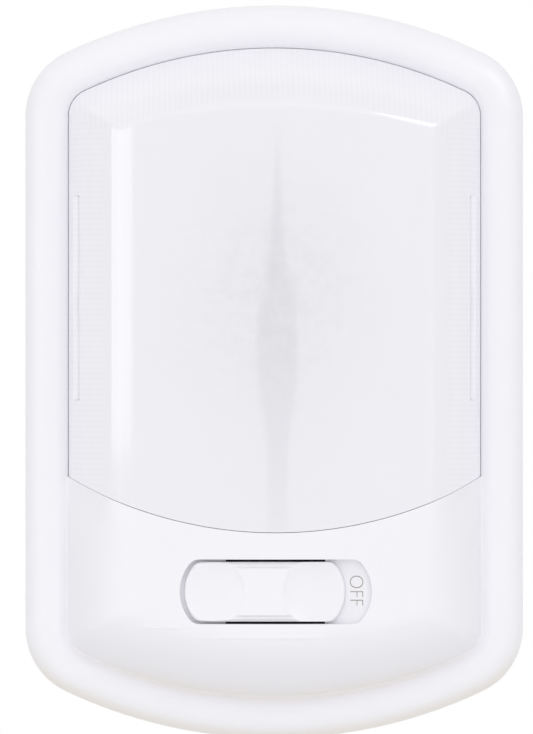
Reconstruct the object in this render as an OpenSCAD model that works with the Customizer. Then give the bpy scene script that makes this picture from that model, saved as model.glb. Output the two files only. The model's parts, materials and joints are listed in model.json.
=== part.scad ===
// Ceiling dome light with a clip-in lens and a slide switch, hung below the ceiling plane z = 0.
// Pieces are drawn on the bench, x to the right, y towards the lens end and z off the ceiling,
// and module hung() turns each of them over so that the lens faces down.

/* [Body] */
// Width of the housing
body_w = 127; // [120:0.5:140]
// Length of the housing
body_l = 187; // [180:0.5:205]
// Height of the crown off the ceiling
depth = 38; // [37:0.5:44]
// Radius of the bowed ends in plan
end_arc_r = 124; // [114:1:145]
// Radius of the corners in plan
corner_r = 18; // [16:0.5:22]
// Wall thickness of the housing
wall = 2.2; // [1.8:0.1:2.5]

/* [Rim] */
// Width of the rolled rim, from the outer edge to the lens
rim_w = 10.9; // [10:0.1:12]
// Radius of the rim's roll
roll_r = 6.5; // [5.8:0.1:7]
// Height of the rim's crest off the ceiling
rim_h = 13; // [12:0.25:15]
// Thickness of the gussets inside the rim
gusset_t = 1.5; // [1:0.1:2]
// Spacing of the gussets along the sides
gusset_pitch = 26; // [20:1:28]
// Height of the floor's underside off the ceiling
floor_gap = 3; // [2:0.25:4]
// Thickness of the floor behind the lamp
floor_t = 2; // [1.5:0.1:2.5]

/* [Dome] */
// Radius of the crown across the housing
crown_r = 130; // [110:1:180]
// Rise of the dome's flanks for each millimetre inwards
flank_slope = 2; // [1.7:0.05:2.4]
// Height over which flank and crown blend at the shoulder
shoulder_blend = 6; // [3:0.5:9]
// Radius of the lens's lower edge in plan
sill_r = 106.3; // [95:0.5:125]
// Lowest point of the lens opening below the middle of the housing
sill_y = -40.6; // [-43:0.2:-38]

/* [Lens] */
// Wall thickness of the lens
lens_wall = 1.8; // [1.4:0.1:2.2]
// Gap between lens and housing
lens_gap = 0.25; // [0.15:0.05:0.4]
// Height of the pads that the lens stands on
pad_h = 1.5; // [1:0.1:2.5]
// Depth of the lens's lip behind the lower edge
lip_depth = 9; // [6:0.5:12]
// Length of the snap tabs
tab_l = 52; // [40:1:60]
// Middle of the snap tabs along the housing
tab_y = 18.8; // [12:0.2:24]
// Width of the flat strip on each snap tab
tab_w = 1.3; // [1:0.1:2]
// Height of the strip over the lens's own edge
tab_h = 1.3; // [0.8:0.1:1.8]
// Width of the prying recess beside each snap tab
pry_w = 1.6; // [1.2:0.1:2]
// Depth of the prying recess below the rim's top
pry_depth = 2.4; // [2.2:0.1:3]
// Radius of the snap bead
bead_r = 0.6; // [0.5:0.05:0.8]
// How far the bead stands out of the lens
bead_out = 0.17; // [0.1:0.01:0.2]

/* [Slide switch] */
// Middle of the switch below the middle of the housing
switch_y = -55.4; // [-57:0.2:-55]
// Length of the slot
slot_l = 48.5; // [46:0.1:50]
// Width of the slot
slot_w = 16.3; // [15.5:0.1:17]
// Radius of the slot's and the slider's bowed ends
slot_end_r = 11; // [10:0.5:14]
// Radius of the slot's and the slider's corners
slot_corner_r = 3.2; // [2:0.1:3.4]
// Depth of the slot's floor under the crown
slot_depth = 4.4; // [4.3:0.1:5.4]
// Thickness of the slot's floor
tray_t = 1.8; // [1.4:0.1:2.2]
// Length of the window in the slot's floor
tray_window_l = 25.2; // [24:0.1:26]
// Travel of the slider
travel = 5.5; // [4:0.1:6]
// Gap at each end of the slider's travel
end_gap = 1.3; // [0.6:0.05:1.6]
// Gap along each side of the slider
side_gap = 0.65; // [0.4:0.05:0.8]
// Wall thickness around the slot
tray_wall = 1.6; // [1.2:0.1:2]
// Place of the slider's legs to either side of its middle
leg_x = 7; // [6:0.25:7.5]
// Length of each leg
leg_l = 4; // [3:0.25:4.5]
// Thickness of each leg
leg_t = 1.6; // [1.4:0.1:1.9]
// Depth of the recess between the slider's bowls and its long edges
dish_inset = 0.9; // [0.7:0.05:1.1]
// Running clearance under the slider
slide_gap = 0.2; // [0.1:0.05:0.3]
// Radius of the bowls that the finger dishes are cut with
dish_r = 24; // [20:0.5:30]
// Depth of the finger dishes
dish_depth = 1.7; // [1.4:0.1:2]
// Distance between the finger dishes
dish_pitch = 30.8; // [30:0.2:32]
// Length of the switch's steel frame without its ears
frame_l = 23; // [21:0.5:24]
// Width of the switch's steel frame
frame_w = 11; // [10:0.5:12]
// Height of the switch's steel frame
frame_h = 9; // [8:0.5:10]
// Thickness of the fibre shield between the frame and the posts
shield_t = 0.4; // [0.3:0.05:0.6]
// Width of the shield
shield_w = 19; // [18:0.25:20]
// Thickness of the frame's sheet steel
frame_t = 0.8; // [0.6:0.1:1]
// Distance between the frame's screws
frame_pitch = 31; // [30:0.5:33]
// Height of the posts that shield and frame hang on
post_h = 3.5; // [3:0.25:4]
// Radius of those posts
post_r = 2.9; // [2.6:0.1:3.2]
// Length of the carriage that carries the bridging contact
carriage_l = 14; // [13:0.25:14.5]
// Radius of the detent balls
ball_r = 1.1; // [1:0.05:1.15]
// Distance between the detent balls
ball_pitch = 9.6; // [9.2:0.1:10]
// Width of the stem that the slider pushes
stem_w = 5; // [4:0.25:6]
// Length of the bridging contact
bridge_l = 10.8; // [10:0.1:11.2]
// Width of the bridging contact
bridge_w = 4.4; // [4:0.1:4.6]
// Length of the switch's solder lugs
lug_l = 5.6; // [5:0.2:6.4]
// Width of the switch's solder lugs
lug_w = 2.4; // [2:0.1:2.6]
// Thickness of the switch's solder lugs
lug_t = 0.6; // [0.5:0.05:0.7]
// Spacing of the switch's solder lugs
lug_pitch = 4.7; // [4.2:0.1:5]

/* [Lamp] */
// Middle of the bulb's glass along the housing
bulb_y = 9; // [5:0.5:14]
// Height of the bulb's axis off the ceiling
bulb_z = 18; // [17.5:0.25:20]
// Radius of the bulb's glass
bulb_r = 7.9; // [7:0.1:8.3]
// Length of the bulb's glass envelope
bulb_l = 28; // [24:0.5:32]
// Wall thickness of the glass
glass_t = 0.8; // [0.6:0.1:1]
// Width of the bulb's wedge base
wedge_w = 9.6; // [9:0.1:10.4]
// Thickness of the bulb's wedge base
wedge_t = 2.6; // [2.2:0.1:3]
// Depth that the wedge base goes into the socket
wedge_in = 9; // [7:0.5:10]
// Outer width of the socket
socket_w = 17; // [16:0.5:19]
// Outer height of the socket
socket_h = 11; // [10:0.5:12]
// Length of the socket
socket_l = 14; // [13:0.5:16]
// Spacing of the socket's two contacts
contact_pitch = 6.6; // [6.2:0.1:6.8]
// Spacing of the wires that hold the filament
wire_pitch = 7.8; // [7:0.2:8.4]
// Radius of those wires
wire_r = 0.3; // [0.25:0.05:0.4]
// Half width of the reflector
reflector_hw = 34; // [30:0.5:34.5]
// Half width of the reflector's flat middle
reflector_flat = 24; // [20:0.5:26]
// Height of the reflector's wings
reflector_rise = 6; // [4:0.5:8]
// Thickness of the bracket's sheet
bracket_t = 0.8; // [0.6:0.05:1]
// Thickness of the reflector's sheet
sheet_t = 0.6; // [0.5:0.1:0.8]

/* [Fixings] */
// Distance between the ceiling screws
screw_pitch = 80; // [78:0.5:84]
// Radius of the ceiling screws' holes
screw_hole_r = 2.1; // [1.8:0.1:2.4]
// Outer radius of the screw bosses
boss_r = 4.5; // [4:0.1:5]
// Height of the screw bosses off the ceiling
boss_h = 7.5; // [6:0.25:9]
// Radius of the small screws and rivets
pin_r = 1.3; // [1.1:0.05:1.5]
// Radius of their heads
head_r = 2.6; // [2.2:0.1:3]
// Height of the screws' heads
head_h = 1.6; // [1.4:0.1:1.8]
// Middle of the reflector's two rivets along the housing
rivet_y = 34; // [32:0.5:36]
// Distance between those rivets
rivet_pitch = 18; // [14:0.5:20]
// Distance between the rivets of the socket's bracket
bracket_pitch = 18; // [15:0.5:18.5]

/* [Lead] */
// Outer radius of the insulated lead
lead_r = 1.05; // [0.8:0.05:1.3]
// Height of the lead off the ceiling where it passes the wall
lead_z = 13.2; // [12:0.2:14.5]
// Radius of the hole that the lead goes through
lead_hole_r = 2.2; // [1.8:0.1:2.6]

/* [Hidden] */
$fn = 72;
far = 400;

hw = body_w / 2;
end_y = body_l / 2 - end_arc_r;
corner_x = hw - corner_r;
corner_y = end_y + sqrt(pow(end_arc_r - corner_r, 2) - corner_x * corner_x);
// angle over which a corner turns from the side to the bowed end
turn = atan2(corner_y - end_y, corner_x);
floor_z = floor_gap + floor_t;
// the rim's roll has come down to this height where it meets the lens
valley_h = rim_h - roll_r + sqrt(roll_r * roll_r - pow(rim_w - roll_r, 2));
lens_foot = floor_z + pad_h;

// The slot's and the slider's heights.
tray_z = depth - slot_depth;
tray_under = tray_z - tray_t;
slider_l = slot_l - travel - 2 * end_gap;
slider_w = slot_w - 2 * side_gap;
slider_x = -travel / 2;
leg_out = 0.44 * slider_w;
hook_out = (slot_w + tray_wall) / 2;
ear_z = tray_under - post_h;
frame_foot = ear_z - frame_h;
board_z = frame_foot + 0.6;
carriage_z = board_z + 3.6;
ball_z = ear_z - frame_t - ball_r - 0.15;

// The lamp's places.
reflector_y = sill_y + 9;
reflector_end = 70;
bracket_y = sill_y + 16;
bracket_z = floor_z + sheet_t;
bracket_hw = bracket_pitch / 2 + 1.15 * head_r;
socket_y = bulb_y - bulb_l / 2 - 0.6;
socket_end = socket_y - socket_l;
wedge_under = bulb_z - wedge_t / 2;
neck_y = bulb_y - bulb_l / 2;
filament_y = bulb_y + 2;
lens_side = hw - rim_w - lens_gap;
tab_top = valley_h + 2 * lens_gap + tab_h;
bead_x = lens_side - bead_r + bead_out;
bead_z = rim_h - 5.3;

function blend_min(a, b, k) = min(a, b) - k / 4 * pow(max(1 - abs(a - b) / k, 0), 2);

// How far a point lies inside the edge of the dome, which is the rim's inner edge.
function edge_distance(x, y) =
    let (ax = abs(x), ay = abs(y), a = atan2(ay - corner_y, ax - corner_x))
    ax > corner_x && a > 0 && a < turn
        ? corner_r - rim_w - norm([ax - corner_x, ay - corner_y])
        : min(hw - rim_w - ax, end_arc_r - rim_w - norm([ax, ay - end_y]));

// Height of the dome's skin at a depth w into the material.
function dome_h(x, y, w) =
    let (in = edge_distance(x, y) - w * sqrt(1 + flank_slope * flank_slope) / flank_slope)
    blend_min(depth - crown_r + sqrt(pow(crown_r - w, 2) - x * x), valley_h + flank_slope * in,
        shoulder_blend);

// Grid lines across the dome, closest together over the flanks.
across = [for (i = [-11 : 11]) (hw - rim_w + 2) * sin(7 * i) / sin(77)];
far_row = body_l / 2 - rim_w + 2;
flank_rows = [for (i = [0 : 10]) far_row - 2.5 * i];
lens_rows = concat([for (i = [0 : 7]) sill_y - 2 + (far_row - 25 - sill_y + 2) * i / 8],
    [for (i = [10 : -1 : 0]) flank_rows[i]]);
panel_rows = concat([for (y = flank_rows) -y], [for (i = [1 : 4]) -far_row + 25 + (far_row - 50) * i / 4]);

// Solid under the dome's skin, on a grid of lines xs and ys, standing on height foot.
module under_skin(xs, ys, w, foot) {
    nx = len(xs);
    ny = len(ys);
    top = [for (y = ys, x = xs) [x, y, dome_h(x, y, w)]];
    border = concat(
        [for (i = [0 : nx - 1]) i],
        [for (j = [1 : ny - 1]) j * nx + nx - 1],
        [for (i = [nx - 2 : -1 : 0]) (ny - 1) * nx + i],
        [for (j = [ny - 2 : -1 : 1]) j * nx]);
    n = len(border);
    middle = [(xs[0] + xs[nx - 1]) / 2, (ys[0] + ys[ny - 1]) / 2, foot];
    polyhedron(
        concat(top, [for (k = border) [top[k][0], top[k][1], foot]], [middle]),
        concat(
            [for (j = [0 : ny - 2], i = [0 : nx - 2], half = [0, 1])
                let (a = j * nx + i)
                half == 0 ? [a, a + nx, a + nx + 1] : [a, a + nx + 1, a + 1]],
            [for (k = [0 : n - 1])
                [border[k], border[(k + 1) % n], nx * ny + (k + 1) % n, nx * ny + k]],
            [for (k = [0 : n - 1]) [nx * ny + k, nx * ny + (k + 1) % n, nx * ny + n]]));
}

// Plan of the housing, drawn in by d, with true arcs.
module plan(d) {
    reach_x = corner_x + 3 * corner_r * cos(turn);
    reach_y = corner_y + 3 * corner_r * sin(turn);
    intersection() {
        translate([0, end_y]) circle(r = end_arc_r - d);
        translate([0, -end_y]) circle(r = end_arc_r - d);
        union() {
            square([2 * (hw - d), 2 * corner_y], center = true);
            for (sx = [-1, 1], sy = [-1, 1])
                translate([sx * corner_x, sy * corner_y]) circle(r = corner_r - d);
            polygon([
                [corner_x, corner_y], [reach_x, reach_y], [-reach_x, reach_y], [-corner_x, corner_y],
                [-corner_x, -corner_y], [-reach_x, -reach_y], [reach_x, -reach_y], [corner_x, -corner_y]]);
        }
    }
}

// Plan of the lens opening, drawn in by d.
module opening(d) intersection() {
    plan(rim_w + d);
    translate([0, sill_y + sill_r]) circle(r = sill_r - d);
}

// Points around the same plan, for the swept rim.
function quarter(d) = concat(
    [for (i = [0 : 7])
        let (a = turn * i / 7)
        [corner_x + (corner_r - d) * cos(a), corner_y + (corner_r - d) * sin(a)]],
    [for (i = [1 : 9])
        let (a = turn + (90 - turn) * i / 9)
        [(end_arc_r - d) * cos(a), end_y + (end_arc_r - d) * sin(a)]]);
function around(d) =
    let (q = quarter(d), n = len(q))
    concat(
        q,
        [for (i = [n - 2 : -1 : 0]) [-q[i][0], q[i][1]]],
        [for (p = q) [-p[0], -p[1]]],
        [for (i = [n - 2 : -1 : 0]) [q[i][0], -q[i][1]]]);

// The rim's hollow section, as points [distance in, height], swept around the plan.
module rolled_rim() {
    roll_end = acos((rim_w - 0.2 - roll_r) / roll_r);
    inner_r = roll_r - wall;
    inner_end = acos(min((rim_w - 0.2 - roll_r) / inner_r, 1));
    section = concat(
        [[0, 0]],
        [for (i = [0 : 8]) let (a = 180 + (roll_end - 180) * i / 8)
            [roll_r + roll_r * cos(a), rim_h - roll_r + roll_r * sin(a)]],
        [for (i = [0 : 5]) let (a = inner_end + (180 - inner_end) * i / 5)
            [roll_r + inner_r * cos(a), rim_h - roll_r + inner_r * sin(a)]],
        [[wall, 0]]);
    m = len(section);
    n = len(around(0));
    polyhedron([for (s = section, p = around(s[0])) [p[0], p[1], s[1]]],
        [for (j = [0 : m - 1], i = [0 : n - 1], half = [0, 1])
            let (a = j * n + i, b = j * n + (i + 1) % n, k = (j + 1) % m)
            half == 0 ? [a, k * n + (i + 1) % n, b] : [a, k * n + i, k * n + (i + 1) % n]]);
}

// Bowed outline shared by the slot and the slider.
function bowed(l, w) =
    let (
        ex = l / 2 - slot_end_r,
        fy = w / 2 - slot_corner_r,
        fx = ex + sqrt(pow(slot_end_r - slot_corner_r, 2) - fy * fy),
        a = atan2(fy, fx - ex),
        q = concat(
            [for (i = [0 : 4]) [ex + slot_end_r * cos(a * i / 4), slot_end_r * sin(a * i / 4)]],
            [for (i = [1 : 5])
                let (b = a + (90 - a) * i / 5)
                [fx + slot_corner_r * cos(b), fy + slot_corner_r * sin(b)]]),
        n = len(q))
    concat(
        q,
        [for (i = [n - 1 : -1 : 0]) [-q[i][0], q[i][1]]],
        [for (i = [1 : n - 1]) [-q[i][0], -q[i][1]]],
        [for (i = [n - 1 : -1 : 1]) [q[i][0], -q[i][1]]]);

module hung() rotate([0, 180, 0]) children();

module both_sides() {
    children();
    mirror([1, 0, 0]) children();
}

module rod_x(r, l, p) translate(p) rotate([0, 90, 0]) cylinder(r = r, h = l, center = true);
module rod_y(r, l, p) translate(p) rotate([90, 0, 0]) cylinder(r = r, h = l, center = true);
module block(from, to) translate(from) cube(to - from);

// Space under the crown's cylinder, as deep as w into the material.
module under_crown(w) rod_y(crown_r - w, body_l, [0, 0, depth - crown_r], $fn = 360);

module gusset() rotate([90, 0, 0]) linear_extrude(gusset_t, center = true)
    polygon([[1, 0.6], [1, rim_h - 5], [3.6, rim_h - wall], [9, rim_h - wall],
        [rim_w - 1, rim_h - 4], [rim_w - 1, 0.6]]);

module gussets() {
    for (side = [0, 180], i = [-2 : 2])
        rotate([0, 0, side]) translate([hw, i * gusset_pitch, 0]) mirror([1, 0, 0]) gusset();
    for (side = [0, 180], a = [-18, -6, 6, 18])
        rotate([0, 0, side]) translate([0, end_y, 0]) rotate([0, 0, 90 + a])
            translate([end_arc_r, 0, 0]) mirror([1, 0, 0]) gusset();
}

module back_ribs() intersection() {
    union() {
        for (y = [-18, 18, 50])
            block([-hw, y - gusset_t / 2, 1], [hw, y + gusset_t / 2, floor_gap + 1]);
        for (x = [-22, 22])
            block([x - gusset_t / 2, sill_y + 3, 1], [x + gusset_t / 2, far_row, floor_gap + 1]);
    }
    translate([0, 0, -1]) linear_extrude(far) plan(rim_w - 1);
    translate([0, sill_y + sill_r, -1]) cylinder(r = sill_r + 1, h = far);
}

module pads() both_sides() for (y = [-14, 52])
    block([hw - rim_w - 4, y - 4, floor_gap + 1], [hw - rim_w + 1, y + 4, lens_foot]);

module pry_recess() both_sides()
    block([hw - rim_w - 1, tab_y - tab_l / 2, rim_h - pry_depth],
        [hw - rim_w + pry_w, tab_y + tab_l / 2, far]);

module pry_backing() both_sides()
    block([hw - rim_w + 1, tab_y - tab_l / 2 - 1.5, floor_gap],
        [hw - rim_w + pry_w + 1.5, tab_y + tab_l / 2 + 1.5, rim_h - wall]);

module housing() color("#f2f2f6") hung() difference() {
    union() {
        difference() {
            union() {
                rolled_rim();
                gussets();
                translate([0, 0, floor_gap]) linear_extrude(valley_h - floor_gap - 0.1) plan(rim_w - 2);
                pry_backing();
                intersection() {
                    under_skin(across, panel_rows, 0, floor_gap);
                    translate([0, 0, floor_gap + 1]) linear_extrude(far) plan(rim_w - 1);
                }
            }
            translate([0, 0, floor_z]) linear_extrude(far) opening(0);
            intersection() {
                under_skin(across, panel_rows, wall, -1);
                translate([0, 0, -2]) linear_extrude(far) difference() {
                    plan(rim_w);
                    opening(-wall);
                }
            }
        }
        back_ribs();
        pads();
        both_sides() translate([screw_pitch / 2, 0, 0]) cylinder(r = boss_r, h = boss_h);
        intersection() {
            translate([0, switch_y, tray_under]) linear_extrude(far)
                polygon(bowed(slot_l + 2 * tray_wall, slot_w + 2 * tray_wall));
            under_crown(0.7);
        }
        both_sides()
            translate([frame_pitch / 2, switch_y, ear_z + shield_t])
                cylinder(r = post_r, h = post_h - shield_t + 1);
    }
    both_sides() {
        translate([screw_pitch / 2, 0, -1]) cylinder(r = screw_hole_r, h = far);
        translate([frame_pitch / 2, switch_y, ear_z - 1]) cylinder(r = pin_r, h = post_h + 1.5);
        rod_y(bead_r + 0.2, tab_l + 1, [bead_x, tab_y, bead_z]);
    }
    rivet_holes(pin_r);
    pry_recess();
    translate([0, switch_y, tray_z]) linear_extrude(far) polygon(bowed(slot_l, slot_w));
    intersection() {
        translate([0, switch_y, tray_under - 1]) linear_extrude(far) polygon(bowed(slot_l, slot_w));
        block([-tray_window_l / 2, -far, 0], [tray_window_l / 2, 0, far]);
    }
    rod_y(lead_hole_r, 8, [lug_pitch, sill_y - 1, lead_z]);
}

module lens() color("#eef0f4") hung() {
    difference() {
        intersection() {
            under_skin(across, lens_rows, 0, lens_foot);
            translate([0, 0, lens_foot - 1]) linear_extrude(far) opening(lens_gap);
        }
        intersection() {
            under_skin(across, lens_rows, lens_wall, -1);
            translate([0, 0, -2]) linear_extrude(far) opening(lens_gap + lens_wall);
        }
        difference() {
            block([-hw + rim_w + 4, sill_y - 5, 0], [hw - rim_w - 4, 0, depth - lens_wall - lip_depth]);
            translate([0, sill_y + sill_r, -1]) cylinder(r = sill_r - lens_gap - lens_wall, h = far);
        }
        both_sides()
            block([lens_side - tab_w, tab_y - tab_l / 2, tab_top], [hw, tab_y + tab_l / 2, far]);
    }
    both_sides() {
        block([lens_side - tab_w, tab_y - tab_l / 2, valley_h - 1],
            [lens_side, tab_y + tab_l / 2, tab_top]);
        rod_y(bead_r, tab_l - 2, [bead_x, tab_y, bead_z]);
    }
}

module slider() color("#f0f0f5") hung() translate([slider_x, switch_y, 0]) {
    difference() {
        intersection() {
            translate([0, 0, tray_z + slide_gap]) linear_extrude(far) polygon(bowed(slider_l, slider_w));
            translate([-slider_x, 0, 0]) under_crown(0.3);
        }
        both_sides()
            translate([dish_pitch / 2, 0, depth - dish_inset - dish_depth + dish_r])
                sphere(r = dish_r, $fn = 120);
        block([-stem_w / 2 - 0.1, -2.1, 0], [stem_w / 2 + 0.1, 2.1, tray_z + slide_gap + 1.6]);
    }
    // retaining legs that hook under the slot's long walls
    both_sides() for (m = [0, 1])
        translate([leg_x, 0, 0]) mirror([0, m, 0]) rotate([90, 0, 90]) linear_extrude(leg_l, center = true)
            polygon([
                [leg_out - leg_t, tray_z + slide_gap + 0.5], [leg_out, tray_z + slide_gap + 0.5],
                [leg_out, tray_under - 0.3], [hook_out, tray_under - 0.3],
                [leg_out, tray_under - hook_out / 4], [leg_out - leg_t, tray_under - hook_out / 4]]);
}

module stem_slot() block([-stem_w / 2 - travel / 2 - 0.4, -2.3, 0], [stem_w / 2 + travel / 2 + 0.4, 2.3, far]);

module dust_shield() color("#17171a") hung() translate([0, switch_y, 0]) difference() {
    translate([0, 0, ear_z]) linear_extrude(shield_t) union() {
        square([frame_pitch - 2 * post_r, shield_w], center = true);
        square([frame_pitch + 1.6 * post_r, 1.8 * post_r], center = true);
    }
    stem_slot();
    both_sides() translate([frame_pitch / 2, 0, 0]) cylinder(r = pin_r + 0.15, h = far);
}

module switch_frame() color("#b9bcc0") hung() translate([0, switch_y, 0]) difference() {
    union() {
        block([-frame_l / 2, -frame_w / 2, frame_foot], [frame_l / 2, frame_w / 2, ear_z]);
        block([-frame_pitch / 2, -3.2, ear_z - frame_t], [frame_pitch / 2, 3.2, ear_z]);
        both_sides() translate([frame_pitch / 2, 0, ear_z - frame_t]) cylinder(r = 3.2, h = frame_t);
    }
    block([-frame_l / 2 + frame_t, -frame_w / 2 + frame_t, 0],
        [frame_l / 2 - frame_t, frame_w / 2 - frame_t, ear_z - frame_t]);
    stem_slot();
    both_sides() translate([frame_pitch / 2, 0, 0]) cylinder(r = pin_r + 0.15, h = far);
}

module switch_base() color("#6b4a2b") hung() translate([0, switch_y, 0]) difference() {
    block([-frame_l / 2 + frame_t, -frame_w / 2 + frame_t, board_z],
        [frame_l / 2 - frame_t, frame_w / 2 - frame_t, board_z + 1.4]);
    for (i = [-1 : 1])
        block([i * lug_pitch - lug_w / 2, -lug_t / 2, 0], [i * lug_pitch + lug_w / 2, lug_t / 2, far]);
}

module switch_lugs() color("#c9a94f") hung() translate([0, switch_y, 0]) for (i = [-1 : 1])
    translate([i * lug_pitch, 0, 0]) difference() {
        union() {
            block([-lug_w / 2, -lug_t / 2, board_z - lug_l], [lug_w / 2, lug_t / 2, board_z + 1.4]);
            block([-0.75 * lug_w, -0.6 * lug_w, board_z + 1.4], [0.75 * lug_w, 0.6 * lug_w, board_z + 1.8]);
            rod_y(lug_w / 2, lug_t, [0, 0, board_z - lug_l]);
        }
        rod_y(lug_w / 4, 2, [0, 0, board_z - lug_l]);
    }

module contact_carriage() color("#23242a") hung() translate([slider_x, switch_y, 0]) difference() {
    union() {
        block([-carriage_l / 2, -frame_w / 2 + frame_t + 0.2, carriage_z],
            [carriage_l / 2, frame_w / 2 - frame_t - 0.2, ear_z - frame_t - 0.15]);
        block([-stem_w / 2, -2, carriage_z], [stem_w / 2, 2, tray_z + slide_gap + 1.5]);
    }
    both_sides() translate([ball_pitch / 2, 0, ball_z]) sphere(r = ball_r + 0.02, $fn = 96);
    block([-bridge_l / 2 - 0.6, -bridge_w / 2 - 0.4, 0],
        [bridge_l / 2 + 0.6, bridge_w / 2 + 0.4, carriage_z + 0.8]);
}

module bridge_contact() color("#b87333") hung() translate([slider_x, switch_y, 0])
    rotate([90, 0, 0]) linear_extrude(bridge_w, center = true) polygon([
        [-bridge_l / 2, carriage_z + 0.7], [bridge_l / 2, carriage_z + 0.7], [bridge_l / 2, carriage_z + 0.2],
        [0.45 * bridge_l, board_z + 1.85], [0.24 * bridge_l, board_z + 1.85], [0.15 * bridge_l, carriage_z + 0.2],
        [-0.15 * bridge_l, carriage_z + 0.2], [-0.24 * bridge_l, board_z + 1.85],
        [-0.45 * bridge_l, board_z + 1.85], [-bridge_l / 2, carriage_z + 0.2]]);

module detent_balls() color("#d0d2d6") hung() translate([slider_x, switch_y, 0])
    both_sides() translate([ball_pitch / 2, 0, ball_z]) sphere(r = ball_r, $fn = 120);

module switch_screws() color("#c8cace") hung() translate([0, switch_y, 0])
    both_sides() translate([frame_pitch / 2, 0, 0]) difference() {
        union() {
            translate([0, 0, ear_z - frame_t - head_h]) cylinder(r1 = 0.77 * head_r, r2 = head_r, h = head_h / 2);
            translate([0, 0, ear_z - frame_t - head_h / 2]) cylinder(r = head_r, h = head_h / 2);
            translate([0, 0, ear_z - frame_t]) cylinder(r = pin_r - 0.03, h = frame_t + post_h);
        }
        for (a = [0, 90])
            translate([0, 0, ear_z - frame_t - head_h]) rotate([0, 0, a])
                cube([1.08 * head_r, 0.23 * head_r, 0.9 * head_h], center = true);
    }

module sheet_section(t) polygon([
    [-reflector_hw, reflector_rise], [-reflector_flat, 0], [reflector_flat, 0], [reflector_hw, reflector_rise],
    [reflector_hw - 0.3, reflector_rise + t], [reflector_flat - 0.3, t],
    [-reflector_flat + 0.3, t], [-reflector_hw + 0.3, reflector_rise + t]]);

module reflector() color("#d9dbde") hung() difference() {
    translate([0, (reflector_end + reflector_y) / 2, floor_z]) rotate([90, 0, 0])
        linear_extrude(reflector_end - reflector_y, center = true) sheet_section(sheet_t);
    rivet_holes(pin_r + 0.15);
}

module rivet_holes(r) {
    for (s = [-1, 1]) {
        translate([0, rivet_y + s * rivet_pitch / 2, -1]) cylinder(r = r, h = far);
        translate([s * bracket_pitch / 2, bracket_y, -1]) cylinder(r = r, h = far);
    }
}

module reflector_rivets() color("#c5c8cc") hung() for (s = [-1, 1]) {
    translate([0, rivet_y + s * rivet_pitch / 2, 0]) rivet(floor_z + sheet_t);
    translate([s * bracket_pitch / 2, bracket_y, 0]) rivet(bracket_z + bracket_t);
}

// Rivet through the floor, with its round head on height z.
module rivet(z) {
    translate([0, 0, floor_gap]) cylinder(r = pin_r - 0.03, h = z - floor_gap);
    translate([0, 0, floor_gap - head_h / 2]) cylinder(r1 = pin_r, r2 = 0.8 * head_r, h = head_h / 2);
    intersection() {
        translate([0, 0, z - head_h]) sphere(r = norm([head_r, head_h]));
        translate([0, 0, z]) cylinder(r = 2 * head_r, h = head_h);
    }
}

module socket_bracket() color("#b4b7bb") hung() difference() {
    union() {
        block([-bracket_hw, bracket_y - 1.5 * head_r, bracket_z],
            [bracket_hw, socket_y - 0.07 * socket_l, bracket_z + bracket_t]);
        both_sides()
            block([socket_w / 2, socket_end + 0.14 * socket_l, bracket_z],
                [socket_w / 2 + bracket_t, socket_y - 0.21 * socket_l, bulb_z + 0.18 * socket_h]);
    }
    rivet_holes(pin_r + 0.15);
    block([-0.38 * socket_w, socket_end + 0.43 * socket_l, 0],
        [0.38 * socket_w, far, bracket_z + 1.25 * bracket_t]);
}

module socket_body() color("#e9e6dc") hung() difference() {
    union() {
        translate([0, socket_y, bulb_z]) rotate([90, 0, 0]) linear_extrude(socket_l) difference() {
            square([socket_w, socket_h], center = true);
            for (sx = [-1, 1], sz = [-1, 1]) translate([sx * socket_w / 2, sz * socket_h / 2])
                rotate(45) square(2.4, center = true);
        }
        block([-socket_w / 4, socket_end, bracket_z + bracket_t], [socket_w / 4, socket_y - 4, bulb_z]);
    }
    block([-wedge_w / 2 - 0.3, socket_y - wedge_in - 0.6, wedge_under - 0.4],
        [wedge_w / 2 + 0.3, far, bulb_z + wedge_t / 2 + 0.4]);
    both_sides() {
        block([contact_pitch / 2 - 1.7, -far, wedge_under - 1.1],
            [contact_pitch / 2 + 1.7, far, wedge_under - 0.3]);
        translate([wedge_w / 2 + 1.9, socket_y - 4, bulb_z]) cube([1.2, 8.4, 5], center = true);
    }
}

module socket_contacts() color("#c9a94f") hung() both_sides() translate([contact_pitch / 2, 0, 0]) {
    block([-1.4, socket_end - 3.4, wedge_under - 1], [1.4, socket_y - 1.2, wedge_under - 0.5]);
    translate([0, socket_y - 5, 0]) rotate([90, 0, 90]) linear_extrude(2.4, center = true)
        polygon([[-2.2, wedge_under - 0.5], [0, wedge_under - 0.1], [2.2, wedge_under - 0.5]]);
}

module bulb_section(d) {
    translate([0, bulb_l / 2 - bulb_r]) circle(r = bulb_r - d);
    translate([-bulb_r + d, -bulb_l / 2 + 4 + d]) square([2 * (bulb_r - d), bulb_l - bulb_r - 4 - d]);
    polygon([[-bulb_r + d, -bulb_l / 2 + 4 + d], [bulb_r - d, -bulb_l / 2 + 4 + d],
        [wedge_w / 2 - d, -bulb_l / 2 + d], [-wedge_w / 2 + d, -bulb_l / 2 + d]]);
}

module bulb_solid(d) translate([0, bulb_y, bulb_z]) rotate([-90, 0, 0]) rotate_extrude() intersection() {
    bulb_section(d);
    translate([0, -far / 2]) square([far, far]);
}

module bulb_glass() color("#e8eef2") hung() difference() {
    union() {
        bulb_solid(0);
        block([-wedge_w / 2, neck_y - wedge_in, wedge_under], [wedge_w / 2, neck_y + 1, bulb_z + wedge_t / 2]);
    }
    intersection() {
        bulb_solid(glass_t);
        block([-far, neck_y + 2, 0], [far, far, far]);
    }
}

module bulb_filament() color("#9a9aa0") hung()
    rod_x(1.5 * wire_r, wire_pitch - 4 * wire_r, [0, filament_y, bulb_z]);

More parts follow.
